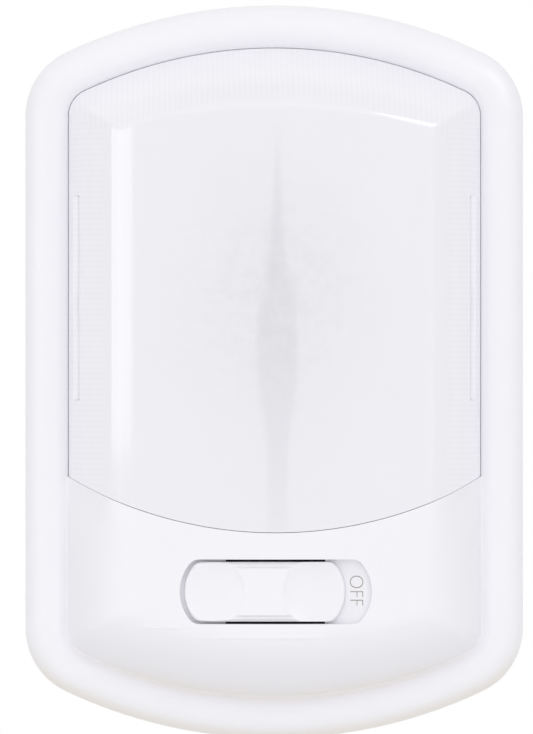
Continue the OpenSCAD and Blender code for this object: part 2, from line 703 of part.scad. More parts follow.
module bulb_wires() color("#a9abb0") hung() both_sides() {
    rod_y(wire_r, filament_y - neck_y - 2, [wire_pitch / 2, (filament_y + neck_y + 2) / 2, bulb_z]);
    translate([wire_pitch / 2, filament_y, bulb_z]) sphere(r = 1.7 * wire_r, $fn = 96);
}

// The lead inside the light, from the socket's contact through the wall to the switch's lug.
lead_route = [
    [contact_pitch / 2, socket_end - 3.4, wedge_under - 0.75],
    [contact_pitch / 2 + 0.2, socket_end - 6, wedge_under - 0.9],
    [lug_pitch - 0.5, sill_y + 6, lead_z + 0.8],
    [lug_pitch, sill_y + 2.5, lead_z],
    [lug_pitch, sill_y - 3.5, lead_z],
    [lug_pitch, switch_y + 6, lead_z - 0.2],
    [lug_pitch, switch_y + 3, board_z - lug_l],
    [lug_pitch, switch_y + 0.3, board_z - lug_l]];

// Points on a smooth curve through the route, three to a leg.
function on_curve(p, i, t) =
    let (
        a = p[max(i - 1, 0)], b = p[i], c = p[i + 1], d = p[min(i + 2, len(p) - 1)])
    0.5 * (2 * b + (c - a) * t + (2 * a - 5 * b + 4 * c - d) * t * t + (3 * b - a - 3 * c + d) * t * t * t);
function curve(p) = concat([for (i = [0 : len(p) - 2], k = [0 : 2]) on_curve(p, i, k / 3)], [p[len(p) - 1]]);

module tube(path, r) {
    sides = 8;
    n = len(path);
    dirs = [for (i = [0 : n - 1])
        i == 0 || i == n - 1 ? [0, -1, 0] : (path[i + 1] - path[i - 1]) / norm(path[i + 1] - path[i - 1])];
    points = [for (i = [0 : n - 1], k = [0 : sides - 1])
        let (
            u = cross(dirs[i], [1, 0, 0]) / norm(cross(dirs[i], [1, 0, 0])),
            v = cross(u, dirs[i]),
            a = 360 * k / sides)
        path[i] + r * cos(a) * u + r * sin(a) * v];
    polyhedron(points, concat(
        [[for (k = [0 : sides - 1]) k]],
        [for (i = [0 : n - 2], k = [0 : sides - 1], half = [0, 1])
            let (a = i * sides + k, b = i * sides + (k + 1) % sides)
            half == 0 ? [a, a + sides, b + sides] : [a, b + sides, b]],
        [[for (k = [sides - 1 : -1 : 0]) (n - 1) * sides + k]]));
}

module switched_lead() color("#1c1c1e") hung() tube(curve(lead_route), lead_r);

housing();
lens();
slider();
dust_shield();
switch_frame();
switch_base();
switch_lugs();
contact_carriage();
bridge_contact();
detent_balls();
switch_screws();
reflector();
reflector_rivets();
socket_bracket();
socket_body();
socket_contacts();
bulb_glass();
bulb_filament();
bulb_wires();
switched_lead();
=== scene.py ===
import json
import math

import bpy
from mathutils import Matrix, Vector

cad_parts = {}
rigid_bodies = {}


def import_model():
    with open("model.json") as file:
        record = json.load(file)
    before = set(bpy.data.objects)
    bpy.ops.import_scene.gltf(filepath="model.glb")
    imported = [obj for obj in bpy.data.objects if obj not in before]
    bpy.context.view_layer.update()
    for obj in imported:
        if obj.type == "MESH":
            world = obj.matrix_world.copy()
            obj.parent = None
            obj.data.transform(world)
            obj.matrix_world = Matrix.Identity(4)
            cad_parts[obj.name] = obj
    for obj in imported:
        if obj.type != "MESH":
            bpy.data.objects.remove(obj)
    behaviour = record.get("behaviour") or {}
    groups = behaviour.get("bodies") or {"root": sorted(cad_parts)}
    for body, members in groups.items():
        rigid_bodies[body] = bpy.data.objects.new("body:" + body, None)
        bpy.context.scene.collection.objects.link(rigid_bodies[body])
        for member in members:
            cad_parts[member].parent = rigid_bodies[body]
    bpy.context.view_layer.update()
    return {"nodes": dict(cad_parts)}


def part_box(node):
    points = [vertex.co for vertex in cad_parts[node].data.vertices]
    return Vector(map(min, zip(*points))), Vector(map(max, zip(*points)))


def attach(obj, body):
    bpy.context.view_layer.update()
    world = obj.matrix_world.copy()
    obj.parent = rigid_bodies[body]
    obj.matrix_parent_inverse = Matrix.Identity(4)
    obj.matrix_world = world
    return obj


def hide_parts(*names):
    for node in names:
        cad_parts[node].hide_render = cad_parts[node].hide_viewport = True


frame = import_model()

mm = 0.001

# The viewpoint: up at the ceiling from a long way below and about an inch to the left, with the switch towards the
# bottom of the picture. The light's outline is 498 pixels wide there, a little right of the middle and below it.
view_distance = 2.3
pixels_per_mm = 3.917
picture_height = 734
sensor_width = 36
aside = 28 * mm
lean = math.atan(aside / view_distance)
outline_level = 6.5 * mm
aim_x, aim_y = 1.909 * mm, 1.236 * mm
bpy.ops.object.camera_add(location=(aim_x + aside, aim_y, -view_distance), rotation=(0, math.pi - lean, 0))
viewpoint = bpy.context.object
viewpoint.name = "viewpoint"
viewpoint.data.sensor_width = sensor_width
viewpoint.data.lens = sensor_width * (view_distance - outline_level) / (picture_height / pixels_per_mm * mm)
viewpoint.data.clip_start = 0.05
viewpoint.data.clip_end = 30
bpy.context.scene.camera = viewpoint
bpy.context.scene.view_settings.view_transform = "Standard"


# The room: a pale floor under the ceiling light, as far down as in a small room, and a plain white surround.
# Both look white in the picture and in reflections, whatever light reaches them.
def new_finish(name):
    """A new material, its nodes, and the skin that they dress."""
    finish = bpy.data.materials.new(name)
    finish.use_nodes = True
    return finish, finish.node_tree, finish.node_tree.nodes["Principled BSDF"]


def reckon(tree, operation, *values):
    """A number that the nodes work out from other numbers and outputs."""
    step = tree.nodes.new("ShaderNodeMath")
    step.operation = operation
    for socket, value in zip(step.inputs, values):
        if isinstance(value, (int, float)):
            socket.default_value = value
        else:
            tree.links.new(value, socket)
    return step.outputs[0]


def ranged(tree, value, between, to, soft=False):
    """A number that runs from one level to another while the value runs between two."""
    span = tree.nodes.new("ShaderNodeMapRange")
    if soft:
        span.interpolation_type = "SMOOTHSTEP"
    for socket, level in zip(("From Min", "From Max", "To Min", "To Max"), (*between, *to)):
        span.inputs[socket].default_value = level
    tree.links.new(value, span.inputs["Value"])
    return span.outputs["Result"]


def white_to_the_eye(tree, strength_socket, plain, shown):
    """Links a strength that is shown to the eye, to gloss and through glass, and plain otherwise."""
    path = tree.nodes.new("ShaderNodeLightPath")
    seen = reckon(tree, "MAXIMUM", path.outputs["Is Camera Ray"], path.outputs["Is Glossy Ray"])
    seen = reckon(tree, "MAXIMUM", seen, path.outputs["Is Transmission Ray"])
    strength = ranged(tree, seen, (0, 1), (plain, shown))
    tree.links.new(strength, strength_socket)
    return strength.node.inputs["To Min"]


# less light comes from above, where a ceiling would be, and a little more from beyond the lens end
evenly, from_above, from_lens_end = 0.9, -0.55, 0.08
surround = bpy.data.worlds.new("surround")
surround.use_nodes = True
bpy.context.scene.world = surround
sky = surround.node_tree
backing = sky.nodes["Background"]
backing.inputs["Color"].default_value = (1, 1, 1, 1)
glow_around = white_to_the_eye(sky, backing.inputs["Strength"], evenly, 1)
aim = sky.nodes.new("ShaderNodeTexCoord")
aim_axes = sky.nodes.new("ShaderNodeSeparateXYZ")
sky.links.new(aim.outputs["Generated"], aim_axes.inputs["Vector"])
glow = reckon(sky, "MULTIPLY_ADD", reckon(sky, "MAXIMUM", aim_axes.outputs["Z"], 0), from_above, evenly)
sky.links.new(reckon(sky, "MULTIPLY_ADD", aim_axes.outputs["Y"], from_lens_end, glow), glow_around)

bpy.ops.object.select_all(action="DESELECT")
room_width, room_height = 6, 2.5
bpy.ops.mesh.primitive_plane_add(size=room_width, location=(0, 0, -room_height))
room_floor = bpy.context.object
room_floor.name = "room_floor"
pale, pale_tree, floor_skin = new_finish("pale_floor")
floor_skin.inputs["Base Color"].default_value = (0.8, 0.8, 0.8, 1)
floor_skin.inputs["Roughness"].default_value = 0.6
floor_skin.inputs["Emission Color"].default_value = (1, 1, 1, 1)
white_to_the_eye(pale_tree, floor_skin.inputs["Emission Strength"], 0, 0.75)
room_floor.data.materials.append(pale)


# The light: it comes softly from all round and from a wide soft box in front, with a weak one beyond each end.
# A window on the left and a lamp high on the right show in the gloss alone. Directions are angles to the left and
# upwards, as seen from the object.
def softbox(name, leftward, upward, distance, width, height, watts):
    toward = Vector((math.tan(math.radians(leftward)), math.tan(math.radians(upward)), -1)).normalized()
    bpy.ops.object.light_add(type="AREA", location=toward * distance)
    box = bpy.context.object
    box.name = name
    box.data.shape = "RECTANGLE"
    box.data.size, box.data.size_y = width, height
    box.data.energy = watts
    across = Vector((0, 1, 0)).cross(toward).normalized()
    box.rotation_mode = "QUATERNION"
    box.rotation_quaternion = Matrix((across, toward.cross(across), toward)).transposed().to_quaternion()
    box.visible_camera = False
    return box


softbox("front_softbox", 0, 4, 2.2, 3.0, 3.0, 26).visible_glossy = False
softbox("upper_softbox", 0, 48, 1.7, 1.7, 1.0, 1.2).visible_glossy = False
softbox("lower_softbox", 0, -52, 1.7, 1.7, 1.0, 0.9).visible_glossy = False
softbox("left_window", 56, 4.5, 1.3, 1.1, 0.18, 0.68).visible_diffuse = False
softbox("right_lamp", -49, 43, 1.4, 0.7, 0.5, 1.8).visible_diffuse = False


# What stands at the viewpoint: a dim field round it, and a dark stand in its middle that the crown of the lens
# mirrors as a narrow spindle. Both show only in reflections.
def mirrored_only(piece):
    for way in ("visible_camera", "visible_diffuse", "visible_shadow", "visible_transmission",
                "visible_volume_scatter"):
        setattr(piece, way, False)


def cloth(name, centre, reach, nearest, farthest, least, most):
    """A cloth that glows faintly round its middle, and more towards its edges."""
    stuff, tree, skin = new_finish(name)
    tree.nodes.remove(skin)
    centred = tree.nodes.new("ShaderNodeVectorMath")
    centred.operation = "MULTIPLY_ADD"
    centred.inputs[1].default_value = (1 / reach[0], 1 / reach[1], 0)
    centred.inputs[2].default_value = (-centre[0] / reach[0], -centre[1] / reach[1], 0)
    tree.links.new(tree.nodes.new("ShaderNodeTexCoord").outputs["Object"], centred.inputs[0])
    away = tree.nodes.new("ShaderNodeVectorMath")
    away.operation = "LENGTH"
    tree.links.new(centred.outputs["Vector"], away.inputs[0])
    glow = tree.nodes.new("ShaderNodeEmission")
    fade = ranged(tree, away.outputs["Value"], (nearest, farthest), (least, most), soft=True)
    tree.links.new(fade, glow.inputs["Strength"])
    tree.links.new(glow.outputs["Emission"], tree.nodes["Material Output"].inputs["Surface"])
    return stuff


def hung_card(name, outline, height, stuff):
    bpy.ops.object.select_all(action="DESELECT")
    bpy.ops.mesh.primitive_circle_add(vertices=len(outline), radius=1, fill_type="NGON")
    card = bpy.context.object
    card.name = name
    for v, (x, y) in zip(card.data.vertices, outline):
        v.co = (x, y, height)
    card.data.materials.append(stuff)
    mirrored_only(card)


mirrored_at, stand_level, field_level = -0.022, -1.15, -1.2
half_stand = [(0.008, 0.09), (0.02, 0.066), (0.03, 0.048), (0.05, 0.036), (0.088, 0.026), (0.098, 0.012),
              (0.094, -0.004), (0.072, -0.016), (0.05, -0.024), (0.046, -0.064)]
whole_stand = half_stand + [(-x, y) for x, y in reversed(half_stand)]
hung_card("dark_stand", [(x + mirrored_at, y) for x, y in whole_stand], stand_level,
          cloth("stand_cloth", (mirrored_at, 0.018), (3, 1), 0.036, 0.085, 0, 0.5))
field_across, field_along, field_middle = 0.9, 0.7, 0.02
turns = [2 * math.pi * i / 48 for i in range(48)]
field_edge = [(field_across * math.cos(a), field_middle + field_along * math.sin(a)) for a in turns]
hung_card("dim_field", field_edge, field_level,
          cloth("field_cloth", (mirrored_at, 0.01), (0.8, 0.13), 0, 1, 0.78, 1))


# The housing is one white moulding: a hollow rolled rim all round, a crowned panel over the switch, a floor behind
# the lamp, and ribs and bosses at the back. Its front is a smooth skin laid over the frame's own moulding.
half_width, end_reach = 63.5, 93.5
end_radius, corner_radius = 124.0, 18.0
rim_width, roll_radius, rim_height = 10.9, 6.5, 13.0
crown_height, crown_radius, flank_slope, shoulder = 38.0, 130.0, 2.0, 6.0
sill_radius, sill_low = 106.3, -40.6
end_middle = end_reach - end_radius
corner_across = half_width - corner_radius
corner_along = end_middle + math.sqrt((end_radius - corner_radius) ** 2 - corner_across ** 2)
corner_turn = math.atan2(corner_along - end_middle, corner_across)
roll_middle = rim_height - roll_radius
valley_height = roll_middle + math.sqrt(roll_radius ** 2 - (rim_width - roll_radius) ** 2)


def end_line(x, inset):
    """How far along the housing its rounded end lies at x, drawn in by inset, in millimetres."""
    x = abs(x)
    if x <= corner_across + (corner_radius - inset) * math.cos(corner_turn):
        return end_middle + math.sqrt((end_radius - inset) ** 2 - x * x)
    return corner_along + math.sqrt(max((corner_radius - inset) ** 2 - (x - corner_across) ** 2, 0))


def distance_in(x, y):
    """How far a point lies in from the housing's outline."""
    x, y = abs(x), abs(y)
    a = math.atan2(y - corner_along, x - corner_across)
    if x > corner_across and 0 < a < corner_turn:
        return corner_radius - math.hypot(x - corner_across, y - corner_along)
    return min(half_width - x, end_radius - math.hypot(x, y - end_middle))


def blend_low(a, b, k):
    """The lower of two heights, rounded off where they are less than k apart."""
    return min(a, b) - k / 4 * max(1 - abs(a - b) / k, 0) ** 2


def gently(share):
    """A share from 0 to 1 that starts and ends softly."""
    share = min(max(share, 0), 1)
    return share * share * (3 - 2 * share)


def dome(x, y, depth=0, swell=0, soften=0):
    """Height of the dome's skin off the ceiling, or of the skin that lies at a depth inside it."""
    crown = crown_height - crown_radius + math.sqrt((crown_radius - depth) ** 2 - x * x)
    inward = distance_in(x, y) - rim_width - depth * math.sqrt(1 + flank_slope ** 2) / flank_slope
    return blend_low(crown, valley_height + flank_slope * inward + swell, shoulder + soften)


def sill(x, gap):
    """Where the lens's curved lower edge lies at x."""
    return sill_low + sill_radius - math.sqrt((sill_radius - gap) ** 2 - x * x)


def sheet(name, reach, low, high, columns, rows, spread, height):
    """A smooth sheet on a net of lines that follow its outline, at the given height off the ceiling."""
    bpy.ops.object.select_all(action="DESELECT")
    bpy.ops.mesh.primitive_grid_add(x_subdivisions=columns, y_subdivisions=rows, size=2)
    piece = bpy.context.object
    piece.name = name
    for v in piece.data.vertices:
        x = reach * math.sin(v.co.x * math.pi / 2)
        y0, y1 = low(x), high(x)
        y = y0 + (y1 - y0) * spread((v.co.y + 1) / 2)
        v.co = (x * mm, y * mm, -height(x, y) * mm)
    bpy.ops.object.mode_set(mode="EDIT")
    bpy.ops.mesh.select_all(action="SELECT")
    bpy.ops.mesh.flip_normals()
    bpy.ops.object.mode_set(mode="OBJECT")
    return piece


def thicken(piece, thickness):
    wall = piece.modifiers.new("wall", "SOLIDIFY")
    wall.thickness = thickness * mm
    wall.offset = -1
    wall.use_even_offset = True
    bpy.context.view_layer.objects.active = piece
    bpy.ops.object.modifier_apply(modifier="wall")


def cut(piece, cutter):
    """Takes the cutter's shape out of the piece, and throws the cutter away."""
    hole = piece.modifiers.new("hole", "BOOLEAN")
    hole.object = cutter
    hole.solver = "EXACT"
    bpy.context.view_layer.objects.active = piece
    bpy.ops.object.modifier_apply(modifier="hole")
    bpy.data.objects.remove(cutter)


def box_between(low, high):
    bpy.ops.object.select_all(action="DESELECT")
    bpy.ops.mesh.primitive_cube_add(size=1)
    cube = bpy.context.object
    for v in cube.data.vertices:
        v.co = [(low[i] + (high[i] - low[i]) * (v.co[i] + 0.5)) * mm for i in range(3)]
    return cube


def face_outwards():
    """Turns all faces of the active piece outwards."""
    bpy.ops.object.mode_set(mode="EDIT")
    bpy.ops.mesh.select_all(action="SELECT")
    bpy.ops.mesh.normals_make_consistent(inside=False)
    bpy.ops.object.mode_set(mode="OBJECT")


def prism(outline, low, high):
    """A closed prism on an outline in the plane of the ceiling, from one height to another."""
    bpy.ops.object.select_all(action="DESELECT")
    bpy.ops.mesh.primitive_circle_add(vertices=len(outline), radius=1, fill_type="NGON")
    solid = bpy.context.object
    for v, (x, y) in zip(solid.data.vertices, outline):
        v.co = (x * mm, y * mm, low * mm)
    bpy.ops.object.mode_set(mode="EDIT")
    bpy.ops.mesh.select_all(action="SELECT")
    bpy.ops.mesh.extrude_region_move(TRANSFORM_OT_translate={"value": (0, 0, (high - low) * mm)})
    bpy.ops.object.mode_set(mode="OBJECT")
    face_outwards()
    return solid


def smooth(piece, angle=32):
    bpy.ops.object.select_all(action="DESELECT")
    piece.select_set(True)
    bpy.context.view_layer.objects.active = piece
    bpy.ops.object.shade_smooth_by_angle(angle=math.radians(angle))


# the rolled rim's skin: its section is swept along the sides, round the corners and round the bowed ends
proud = 0.03
roll_wall, roll_flange = 0.8, 8.8
roll_stop = math.acos((rim_width - roll_radius) / (roll_radius + proud))
inner_radius, inner_stop = roll_radius - roll_wall, 0.72


def roll_arc(radius, start, stop, steps):
    """Points of the roll's section, as distances in from the outline and heights off the ceiling."""
    turns = [start + (stop - start) * i / steps for i in range(steps + 1)]
    return [(roll_radius + radius * math.cos(a), roll_middle + radius * math.sin(a)) for a in turns]


section = [(-proud, proud)] + roll_arc(roll_radius + proud, math.pi, roll_stop, 30)
section += [(rim_width + 0.02, valley_height - 0.25), (rim_width + 0.02, roll_flange), (rim_width - 0.6, roll_flange)]
section += roll_arc(inner_radius, inner_stop, math.pi, 10) + [(0.75, proud)]
bpy.ops.object.select_all(action="DESELECT")
bpy.ops.mesh.primitive_circle_add(vertices=len(section), radius=1, fill_type="NOTHING")
rim = bpy.context.object
rim.name = "rim"
for v, (inward, height) in zip(rim.data.vertices, section):
    v.co = ((half_width - inward) * mm, 0, -height * mm)
bpy.ops.object.mode_set(mode="EDIT")
bpy.ops.mesh.select_all(action="SELECT")


def sweep_on(along):
    bpy.ops.mesh.extrude_edges_move(TRANSFORM_OT_translate={"value": (0, along * mm, 0)})


def sweep_round(x, y, angle, steps):
    bpy.ops.mesh.spin(steps=steps, angle=angle, center=(x * mm, y * mm, 0), axis=(0, 0, 1))


sweep_on(corner_along)
for way in (1, -1):
    sweep_round(way * corner_across, way * corner_along, -corner_turn, 18)
    sweep_round(0, way * end_middle, -(math.pi - 2 * corner_turn), 48)
    sweep_round(-way * corner_across, way * corner_along, -corner_turn, 18)
    sweep_on(-way * corner_along)
    if way == 1:
        sweep_on(-corner_along)
bpy.ops.mesh.select_all(action="SELECT")
bpy.ops.mesh.remove_doubles(threshold=0.00001)
bpy.ops.object.mode_set(mode="OBJECT")
face_outwards()

# a recess in the rim's inner side to pry each clip of the lens out, with a floor that slopes down to the lens
recess_low, recess_high = -7.17, 44.77
recess_inner, recess_outer = 51.6, 54.17
recess_inner_floor, recess_outer_floor = 10.63, 12.28
above_rim = 30
for side in (-1, 1):
    low, high = sorted((side * recess_inner, side * recess_outer))
    scoop = box_between((low, recess_low, -above_rim), (high, recess_high, -recess_inner_floor))
    for v in scoop.data.vertices:
        if v.co.z > -20 * mm and abs(v.co.x) > 53 * mm:
            v.co.z = -recess_outer_floor * mm
    cut(rim, scoop)

# the panel over the switch, which runs down into the rim in a soft valley, and which swells a little away from the
# lens, so that it rounds over softly and drops steeply to the rim
edge_inset, roll_end, valley_softness = 6.8, 12.4, 2.4
swell_most, swell_over, softer_shoulder = 6.6, 2.6, 10
plain_by_sill, full_over = 2, 14
panel_wall = 0.5


def panel_height(x, y):
    inward = distance_in(x, y)
    roll = roll_middle + math.sqrt(max(roll_radius ** 2 - (min(inward, roll_end) - roll_radius) ** 2, 0))
    full = gently((sill(x, 0) - y - plain_by_sill) / full_over)
    swell = swell_most * full * (1 - math.exp(-max(inward - rim_width, 0) / swell_over))
    skin = dome(x, y, 0, swell, softer_shoulder * full)
    return 2 * proud - blend_low(-skin, -roll, valley_softness)


panel = sheet("panel", half_width - edge_inset, lambda x: -end_line(x, edge_inset), lambda x: sill(x, 0),
              180, 110, lambda t: t ** 1.5, panel_height)
thicken(panel, panel_wall)

# the slot for the slider, with bowed ends and rounded corners
slot_length, slot_width, slot_middle = 48.5, 16.3, -55.4
end_bow, corner_bow = 11, 3.2


def bow_middles(length, width):
    """Where the middles of a bowed end and of its corner lie, from the middle of the slot or the slider."""
    end_x, corner_y = length / 2 - end_bow, width / 2 - corner_bow
    return end_x, end_x + math.sqrt((end_bow - corner_bow) ** 2 - corner_y * corner_y), corner_y


end_x, corner_x, corner_y = bow_middles(slot_length, slot_width)
turn = math.atan2(corner_y, corner_x - end_x)
quarter = [(end_x + end_bow * math.cos(turn * i / 10), end_bow * math.sin(turn * i / 10)) for i in range(11)]
quarter += [(corner_x + corner_bow * math.cos(turn + (math.pi / 2 - turn) * i / 10),
             corner_y + corner_bow * math.sin(turn + (math.pi / 2 - turn) * i / 10)) for i in range(1, 11)]
half_slot = quarter + [(-x, y) for x, y in reversed(quarter)]
slot_line = half_slot + [(x, -y) for x, y in reversed(half_slot)][1:-1]
cut(panel, prism([(x, y + slot_middle) for x, y in slot_line], -50, -30))
for piece in (rim, panel):
    smooth(piece)

# the rest of the moulding, as the frame has it
bpy.ops.object.select_all(action="DESELECT")
moulding = frame["nodes"]["housing"].copy()
moulding.data = moulding.data.copy()
moulding.parent = None
moulding.name = "moulding"
bpy.context.scene.collection.objects.link(moulding)
moulding.select_set(True)
bpy.context.view_layer.objects.active = moulding
bpy.ops.object.mode_set(mode="EDIT")
bpy.ops.mesh.select_all(action="SELECT")
bpy.ops.mesh.remove_doubles(threshold=0.000001)
bpy.ops.object.mode_set(mode="OBJECT")
bpy.ops.mesh.customdata_custom_splitnormals_clear()
smooth(moulding, 25)


def marks_group(name, *inputs):
    """A group of nodes that takes the place on the piece and puts out tone, gloss and height."""
    group = bpy.data.node_groups.new(name, "ShaderNodeTree")
    group.interface.new_socket("Place", in_out="INPUT", socket_type="NodeSocketVector")
    for socket, kind in inputs:
        group.interface.new_socket(socket, in_out="INPUT", socket_type=kind)
    for socket in ("Tone", "Gloss", "Height"):
        group.interface.new_socket(socket, in_out="OUTPUT", socket_type="NodeSocketFloat")
    return group, group.nodes.new("NodeGroupInput").outputs, group.nodes.new("NodeGroupOutput").inputs


def noise(tree, vector, scale, detail=2):
    """A noise texture over a place, at a scale that is a number or an output."""
    texture = tree.nodes.new("ShaderNodeTexNoise")
    texture.inputs["Detail"].default_value = detail
    if isinstance(scale, (int, float)):
        texture.inputs["Scale"].default_value = scale
    else:
        tree.links.new(scale, texture.inputs["Scale"])
    tree.links.new(vector, texture.inputs["Vector"])
    return texture.outputs["Fac"]


def mixed(tree, share, first, second, way="MIX"):
    """One colour over another, where each of the three is a plain value or an output."""
    mix = tree.nodes.new("ShaderNodeMix")
    mix.data_type = "RGBA"
    mix.blend_type = way
    for name, value in (("Factor", share), ("A", first), ("B", second)):
        if isinstance(value, bpy.types.NodeSocket):
            tree.links.new(value, mix.inputs[name])
        else:
            mix.inputs[name].default_value = value
    return mix.outputs["Result"]


def dented(tree, skin, height, depth):
    """Gives the skin fine dents of a depth in metres."""
    bump = tree.nodes.new("ShaderNodeBump")
    bump.inputs["Distance"].default_value = depth
    tree.links.new(height, bump.inputs["Height"])
    tree.links.new(bump.outputs["Normal"], skin.inputs["Normal"])


def placed_marks(tree, group, **values):
    """Puts a group of marks on the piece, with its own values, and gives its outputs."""
    marks = tree.nodes.new("ShaderNodeGroup")
    marks.node_tree = group
    for name, value in values.items():
        marks.inputs[name].default_value = value
    tree.links.new(tree.nodes.new("ShaderNodeTexCoord").outputs["Object"], marks.inputs["Place"])
    return marks.outputs


moulding_marks, came_in, goes_out = marks_group("moulding_marks", ("Grain", "NodeSocketFloat"))
for mark, scale, detail in (("Height", came_in["Grain"], 2), ("Tone", 38, 3), ("Gloss", 150, 2)):
    moulding_marks.links.new(noise(moulding_marks, came_in["Place"], scale, detail), goes_out[mark])


def moulded(name, colour, roughness, grain, dents, coat=0):
    """Moulded plastic: a faint orange peel, a slow change of tone, and a little change of gloss."""
    stuff, tree, skin = new_finish(name)
    marks = placed_marks(tree, moulding_marks, Grain=grain)
    tint = mixed(tree, marks["Tone"], (*[c * 0.972 for c in colour], 1), (*colour, 1))
    tree.links.new(tint, skin.inputs["Base Color"])
    gloss = ranged(tree, marks["Gloss"], (0, 1), (roughness * 0.85, roughness * 1.15))
    tree.links.new(gloss, skin.inputs["Roughness"])
    dented(tree, skin, marks["Height"], dents * mm)
    skin.inputs["IOR"].default_value = 1.53
    skin.inputs["Coat Weight"].default_value = coat
    skin.inputs["Coat Roughness"].default_value = 0.05
    return stuff


def tint_over(stuff, share, colour, way="MIX"):
    """Lays a colour over the tone that a material already has."""
    tree = stuff.node_tree
    skin = tree.nodes["Principled BSDF"].inputs["Base Color"]
    tree.links.new(mixed(tree, share, skin.links[0].from_socket, colour, way), skin)


white_plastic = moulded("white_plastic", (0.925, 0.918, 0.958), 0.3, 900, 0.012)
for piece in (rim, panel, moulding):
    piece.data.materials.clear()
    piece.data.materials.append(white_plastic)

# painted shade: at the switch's end the plastic is painted a little warmer and darker along the outer edge and in the
# valley before the rim, where the bottom-facing slopes get less light
painted_shade_from, painted_shade_over, edge_spread = 66, 14, 2.4
valley_line, valley_share, outer_spread, inner_spread = 10.6, 0.62, 0.9, 3.2
for piece in (rim, panel):
    painted_warm_shade = piece.data.attributes.new("painted_warm_shade", "FLOAT", "POINT")
    for v, mark in zip(piece.data.vertices, painted_warm_shade.data):
        x, y = v.co.x / mm, v.co.y / mm
        inward = distance_in(x, y)
        from_valley = (inward - valley_line) / (inner_spread if inward > valley_line else outer_spread)
        strength = valley_share * math.exp(-from_valley ** 2) + math.exp(-(inward / edge_spread) ** 2)
        mark.value = gently((-y - painted_shade_from) / painted_shade_over) * strength
# the painted shade's warm, darker colour is laid over the plastic as far as the mark reaches
warm_shade_node = white_plastic.node_tree.nodes.new("ShaderNodeAttribute")
warm_shade_node.attribute_name = "painted_warm_shade"
tint_over(white_plastic, warm_shade_node.outputs["Fac"], (0.87, 0.832, 0.79, 1))
bpy.ops.object.select_all(action="DESELECT")
for piece in (rim, panel, moulding):
    piece.select_set(True)
bpy.context.view_layer.objects.active = moulding
bpy.ops.object.join()
moulding.name = "housing_moulding"
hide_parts("housing")
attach(moulding, "fixture")


# The lens is a milky crowned cover, 1.8 mm thick, that clips in between the rim's sides. Fine ribs run across the
# inside of its flanks, a plain strip marks each clip, and a lip turns in behind its curved lower edge.
lens_gap, lens_wall, inside_gap = 0.14, 1.8, 2.05
pad_level, lip_level, lip_reach = 6.5, 27.2, 48.6


def fold_edge(piece):
    """Doubles the edge of a sheet, and leaves the new edge selected."""
    bpy.ops.object.mode_set(mode="EDIT")
    bpy.ops.mesh.select_all(action="SELECT")
    bpy.ops.mesh.region_to_loop()
    bpy.ops.mesh.extrude_edges_move(TRANSFORM_OT_translate={"value": (0, 0, 0)})
    bpy.ops.object.mode_set(mode="OBJECT")
    return [v for v in piece.data.vertices if v.select]


def lens_shell(name, inset, depth):
    """One face of the lens, with its skirt turned down to the pads and its lip behind the lower edge."""
    edge = rim_width + inset
    face = sheet(name, half_width - edge, lambda x: sill(x, inset), lambda x: end_line(x, edge),
                 170, 170, lambda t: 1 - (1 - t) ** 1.35, lambda x, y: dome(x, y, depth))
    for v in fold_edge(face):
        x, y = v.co.x / mm, v.co.y / mm
        behind_sill = abs(y - sill(x, inset)) < 0.02 and abs(x) < lip_reach
        v.co.z = -(min(lip_level, dome(x, y, depth) - lens_wall) if behind_sill else pad_level) * mm
    return face


lens_cover = lens_shell("lens_cover", lens_gap, 0)
lens_inside = lens_shell("lens_inside", inside_gap, lens_wall)
bpy.ops.object.select_all(action="DESELECT")
lens_inside.select_set(True)
lens_cover.select_set(True)
bpy.context.view_layer.objects.active = lens_cover
bpy.ops.object.join()
bpy.ops.object.mode_set(mode="EDIT")
bpy.ops.mesh.bridge_edge_loops()
bpy.ops.object.mode_set(mode="OBJECT")
face_outwards()

# a notch in each flank, and in it the plain strip that stands over the clip
strip_low, strip_high = -7.2, 44.8
notch_inner, notch_outer, notch_level = 49.7, 60, 15.7
strip_inner, strip_outer, strip_level, strip_foot = 49.62, 51.2, 15.85, 12.2
for side in (-1, 1):
    low, high = sorted((side * notch_inner, side * notch_outer))
    cut(lens_cover, box_between((low, strip_low, -40), (high, strip_high, -notch_level)))
    low, high = sorted((side * strip_inner, side * strip_outer))
    strip = box_between((low, strip_low, -strip_level), (high, strip_high, -strip_foot))
    edges = strip.modifiers.new("edges", "BEVEL")
    edges.width = 0.18 * mm
    edges.segments = 3
    bpy.ops.object.modifier_apply(modifier="edges")
    lens_cover.select_set(True)
    bpy.context.view_layer.objects.active = lens_cover
    bpy.ops.object.join()
smooth(lens_cover)
lens_plastic = moulded("lens_plastic", (0.885, 0.883, 0.93), 0.07, 420, 0.016, 1.0)

# fine ribs inside the flanks, across each side and across the far end, a painted lightening of the flanks, and the
# mottled painted shade of the bulb behind
lens_tree = lens_plastic.node_tree
lens_place = lens_tree.nodes["Texture Coordinate"].outputs["Object"]
axes = lens_tree.nodes.new("ShaderNodeSeparateXYZ")
lens_tree.links.new(lens_place, axes.inputs["Vector"])
lens_x, lens_y = axes.outputs["X"], axes.outputs["Y"]


def on_lens(operation, *values):
    return reckon(lens_tree, operation, *values)


